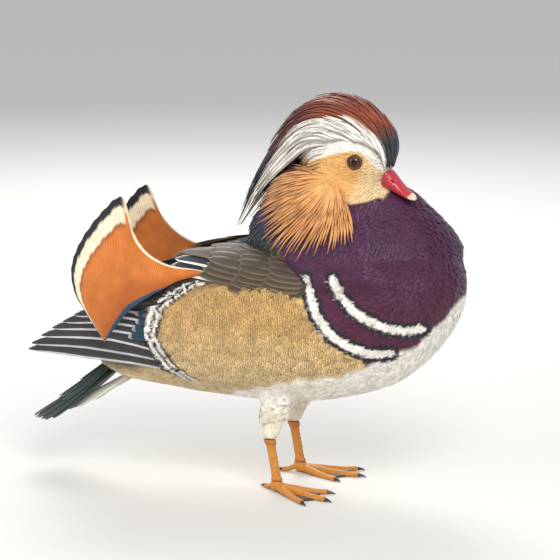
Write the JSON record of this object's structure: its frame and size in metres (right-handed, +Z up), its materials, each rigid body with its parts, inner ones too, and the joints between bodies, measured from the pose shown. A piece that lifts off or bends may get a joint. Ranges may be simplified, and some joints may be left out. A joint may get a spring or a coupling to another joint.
{
  "type": "mandarin duck",
  "caption": "Mandarin duck drake standing on both webbed feet, head turned a little to its right, orange sail feathers raised over the back.",
  "frame": {"origin": "on the floor under the middle of the bird's bounding box", "axes": "+X the way the body faces, +Y the bird's left, +Z up"},
  "size_m": [0.3686, 0.142, 0.3223],
  "materials": {
    "flank": "matt feathers, golden buff, white below",
    "breast": "glossy feathers, dark maroon purple",
    "face": "matt feathers, buff and white",
    "crest": "glossy feathers, copper to dark green",
    "hackle": "matt feathers, orange rust",
    "wing": "matt feathers, olive brown and dark",
    "sail": "matt feathers, orange with pale edges",
    "tail": "matt feathers, dark brown",
    "belly": "matt down, white",
    "bill": "smooth horn, red with a pale nail",
    "eye": "wet, dark brown",
    "leg": "scaly skin, orange",
    "claw": "horn, dark"
  },
  "bodies": {
    "root": {"torso": "flank", "neck": "breast", "head": "face", "bill_upper": "bill", "bill_lower": "bill", "crest": "crest", "tail": "tail", "eye_right": "eye", "ruff_right": "hackle", "wing_right": "wing", "sail_right": "sail", "thigh_right": "belly", "leg_right": "leg", "foot_right": "leg", "claw_inner_right": "claw", "claw_middle_right": "claw", "claw_outer_right": "claw", "claw_hind_right": "claw", "eye_left": "eye", "ruff_left": "hackle", "wing_left": "wing", "sail_left": "sail", "thigh_left": "belly", "leg_left": "leg", "foot_left": "leg", "claw_inner_left": "claw", "claw_middle_left": "claw", "claw_outer_left": "claw", "claw_hind_left": "claw"}
  },
  "joints": []
}
